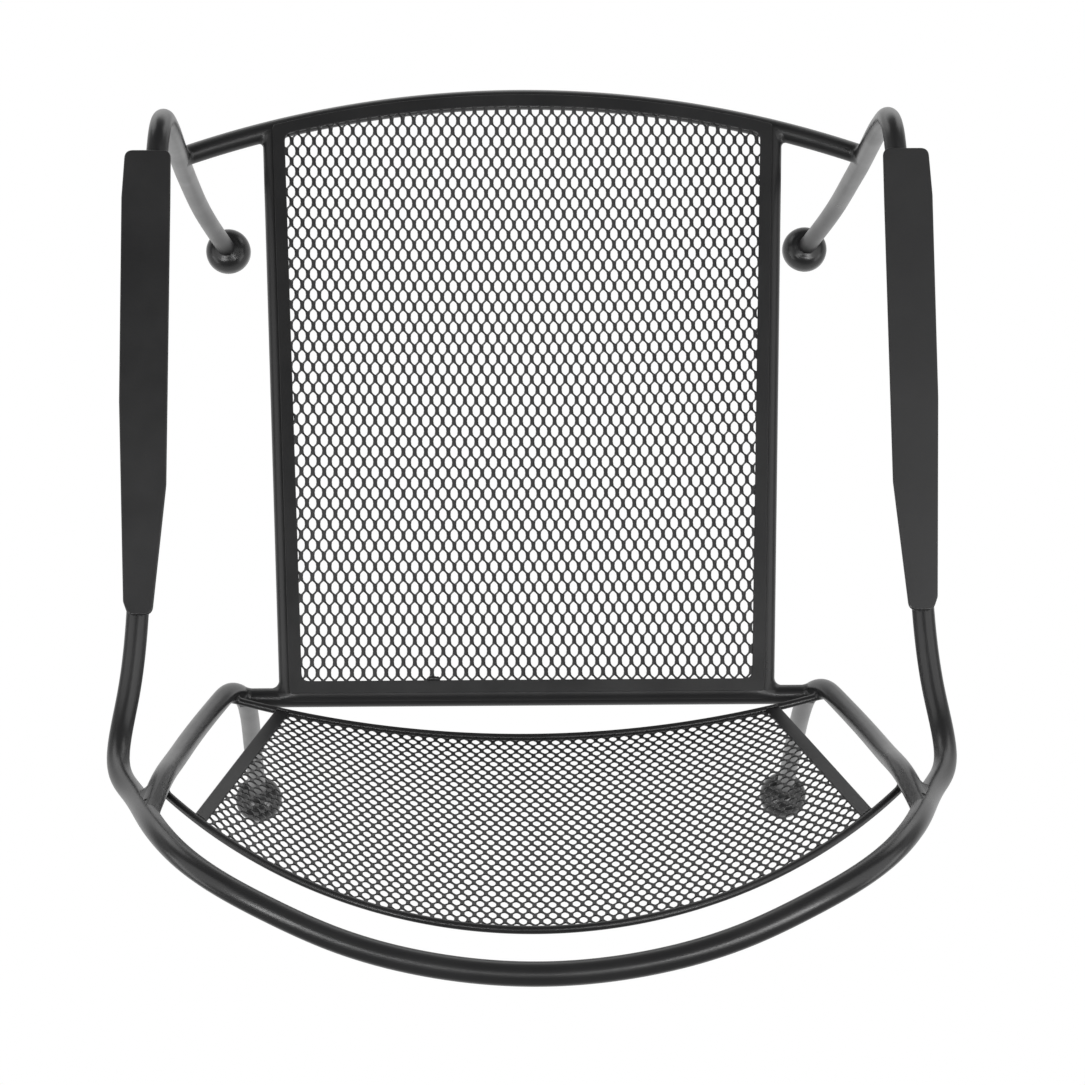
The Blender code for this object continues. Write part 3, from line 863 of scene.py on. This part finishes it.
# ---------------------------------------------------------------- studio, in metres
def build_floor():
    """A floor that glows instead of being lit, so it shows no shadows: white round the chair,
    fading to pale grey further away, and glowing up to 2.2 times as bright in front of the chair,
    where that painted glow is seen in the tubes' bends like a lamp.
    """
    half = 30.0
    mesh = bpy.data.meshes.new("studio_floor")
    mesh.from_pydata([(-half, -half, 0.0), (half, -half, 0.0), (half, half, 0.0),
                      (-half, half, 0.0)], [], [(0, 1, 2, 3)])
    floor_glow, nodes, links, shader, where = new_material("studio_floor")
    shader.inputs["Base Color"].default_value = (0.0, 0.0, 0.0, 1.0)
    shader.inputs["Roughness"].default_value = 1.0
    shader.inputs["Specular IOR Level"].default_value = 0.0

    oval = nodes.new("ShaderNodeVectorMath")
    oval.operation = "MULTIPLY_ADD"
    oval.inputs[1].default_value = (1.6, 1.0, 0.0)
    oval.inputs[2].default_value = (0.0, 0.9, 0.0)
    links.new(where, oval.inputs[0])
    away = nodes.new("ShaderNodeVectorMath")
    away.operation = "LENGTH"
    links.new(oval.outputs[0], away.inputs[0])
    # the floor's glow: white near the chair, pale grey further away; it stands in for lit floor
    links.new(ramp(nodes, links, away.outputs["Value"], (1.80, 3.40), (1.0, 0.34), smooth=True),
              shader.inputs["Emission Color"])
    split = nodes.new("ShaderNodeSeparateXYZ")
    links.new(where, split.inputs[0])
    # painted light: the glow rises to 2.2 times in front of the chair, so the tubes' bends reflect
    # it as if it were a lamp
    links.new(ramp(nodes, links, split.outputs["Y"], (-1.50, -0.64), (2.2, 1.0), smooth=True),
              shader.inputs["Emission Strength"])
    mesh.materials.append(floor_glow)
    linked("studio_floor", mesh)


def build_world():
    """Soft grey light from all round, darker overhead."""
    world = bpy.data.worlds.new("studio")
    bpy.context.scene.world = world
    world.use_nodes = True
    nodes, links = world.node_tree.nodes, world.node_tree.links
    place_in = nodes.new("ShaderNodeTexCoord").outputs["Generated"]
    split = nodes.new("ShaderNodeSeparateXYZ")
    links.new(place_in, split.inputs[0])
    sky = nodes.new("ShaderNodeValToRGB")
    horizon, zenith = sky.color_ramp.elements
    horizon.position, horizon.color = 0.0, (0.38, 0.38, 0.38, 1.0)
    zenith.position, zenith.color = 0.85, (0.13, 0.13, 0.13, 1.0)
    links.new(split.outputs["Z"], sky.inputs[0])
    links.new(sky.outputs[0], nodes["Background"].inputs["Color"])
    nodes["Background"].inputs["Strength"].default_value = 1.0


def softbox(name, at, aim, size, brightness):
    """A rectangular light whose face has the given brightness as seen in reflections."""
    lamp = bpy.data.lights.new(name, "AREA")
    lamp.shape = "RECTANGLE"
    lamp.size, lamp.size_y = size
    lamp.energy = brightness * math.pi * size[0] * size[1]
    obj = linked(name, lamp)
    obj.location = at
    obj.rotation_euler = (Vector(aim) - Vector(at)).to_track_quat("-Z", "Y").to_euler()


def build_camera():
    """Looking almost straight down, from above the back of the seat, tilted to the front."""
    tilt = Matrix.Rotation(math.radians(-9.5), 4, "X")
    lean = Matrix.Rotation(math.radians(1.215), 4, "Y")
    turn = Matrix.Rotation(math.radians(180 - 0.321), 4, "Z")
    lens = bpy.data.cameras.new("camera")
    lens.sensor_width = 36.0
    lens.lens = 99.04
    camera = linked("camera", lens)
    camera.matrix_world = Matrix.Translation((0.0392, 0.4217, 2.886)) @ tilt @ lean @ turn
    bpy.context.scene.camera = camera


build_floor()
build_world()
softbox("softbox_left", (2.25, 0.3, 2.0), (1.05, 0.3, 0.4), (2.4, 3.0), 1.5)
softbox("softbox_right", (-1.79, 0.3, 2.1), (-0.59, 0.3, 0.5), (2.4, 3.0), 1.7)
softbox("strip_left", (1.10, 1.05, 3.3), (0.20, 0.35, 0.86), (0.45, 1.5), 19.0)
softbox("strip_right", (-1.05, 1.05, 3.3), (-0.20, 0.35, 0.86), (0.45, 1.5), 20.0)
softbox("panel_left", (2.3, 0.9, 0.55), (0.0, 0.0, 0.3), (1.6, 0.8), 2.8)
softbox("panel_right", (-2.3, 0.9, 0.55), (0.0, 0.0, 0.3), (1.6, 0.8), 2.8)
softbox("corner_left", (1.4, -2.0, 0.75), (0.0, -0.2, 0.6), (1.0, 1.3), 2.0)
softbox("corner_right", (-1.4, -2.0, 0.75), (0.0, -0.2, 0.6), (1.0, 1.3), 2.0)
build_camera()
bpy.context.scene.view_settings.view_transform = "Standard"
